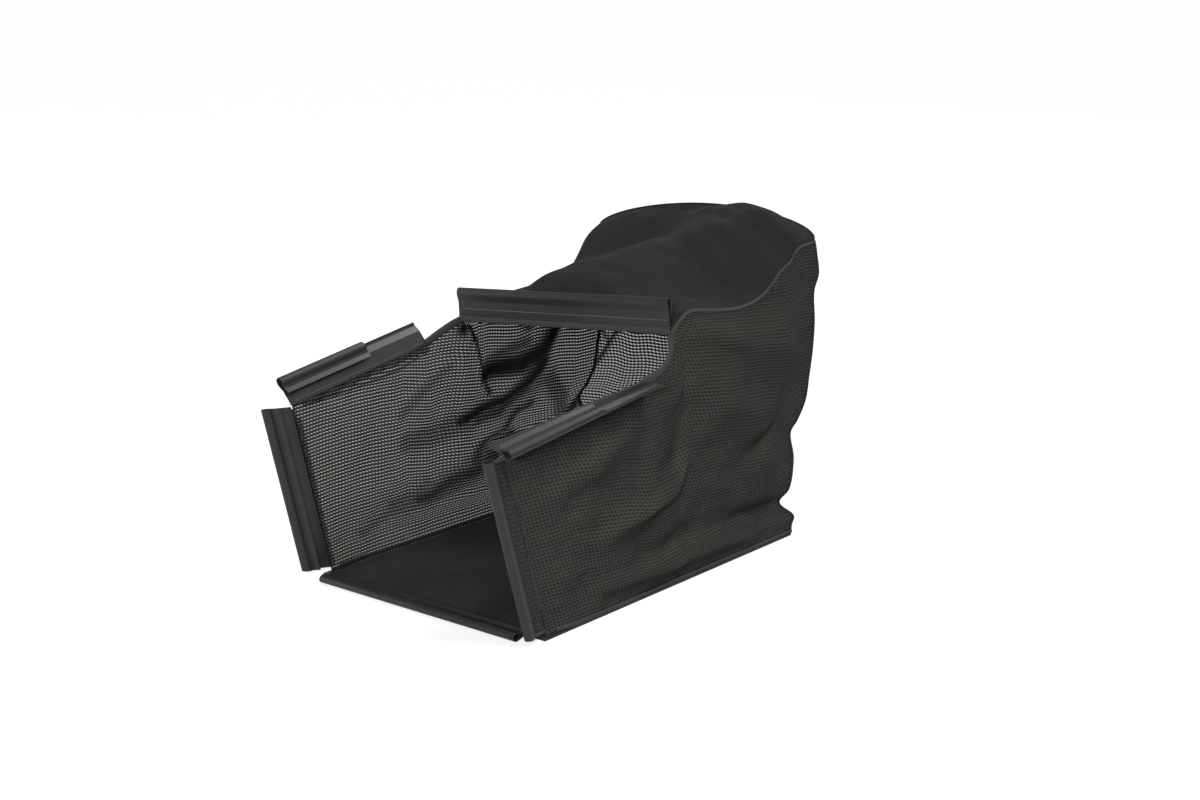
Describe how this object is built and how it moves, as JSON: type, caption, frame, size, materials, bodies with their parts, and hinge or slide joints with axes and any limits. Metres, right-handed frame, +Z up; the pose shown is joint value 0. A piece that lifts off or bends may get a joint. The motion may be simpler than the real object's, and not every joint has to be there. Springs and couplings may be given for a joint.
{
  "type": "mower grass collection bag",
  "caption": "Mesh collection bag with a vinyl floor and plastic clips round its open mouth, for a walk-behind mower.",
  "frame": {"origin": "middle of the floor panel's underside", "axes": "+X across the mouth to the right as one looks into it, +Y from the mouth to the back, +Z up"},
  "size_m": [0.4301, 0.6864, 0.4468],
  "materials": {
    "clip_plastic": "satin",
    "floor_vinyl": "satin",
    "mesh_cloth": "matte",
    "tape_cloth": "matte"
  },
  "bodies": {
    "root": {"bottom_clip": "clip_plastic", "left_post_clip": "clip_plastic", "right_post_clip": "clip_plastic", "left_rail_clip": "clip_plastic", "right_rail_clip": "clip_plastic", "top_clip": "clip_plastic", "floor_panel": "floor_vinyl", "left_side_panel": "mesh_cloth", "right_side_panel": "mesh_cloth", "rear_panel": "mesh_cloth", "roof_panel": "mesh_cloth", "top_clip_tape": "tape_cloth", "left_post_hem": "tape_cloth", "right_post_hem": "tape_cloth", "left_rail_hem": "tape_cloth", "right_rail_hem": "tape_cloth", "left_floor_band": "tape_cloth", "right_floor_band": "tape_cloth", "rear_floor_band": "tape_cloth", "left_corner_binding": "tape_cloth", "right_corner_binding": "tape_cloth"}
  },
  "joints": []
}
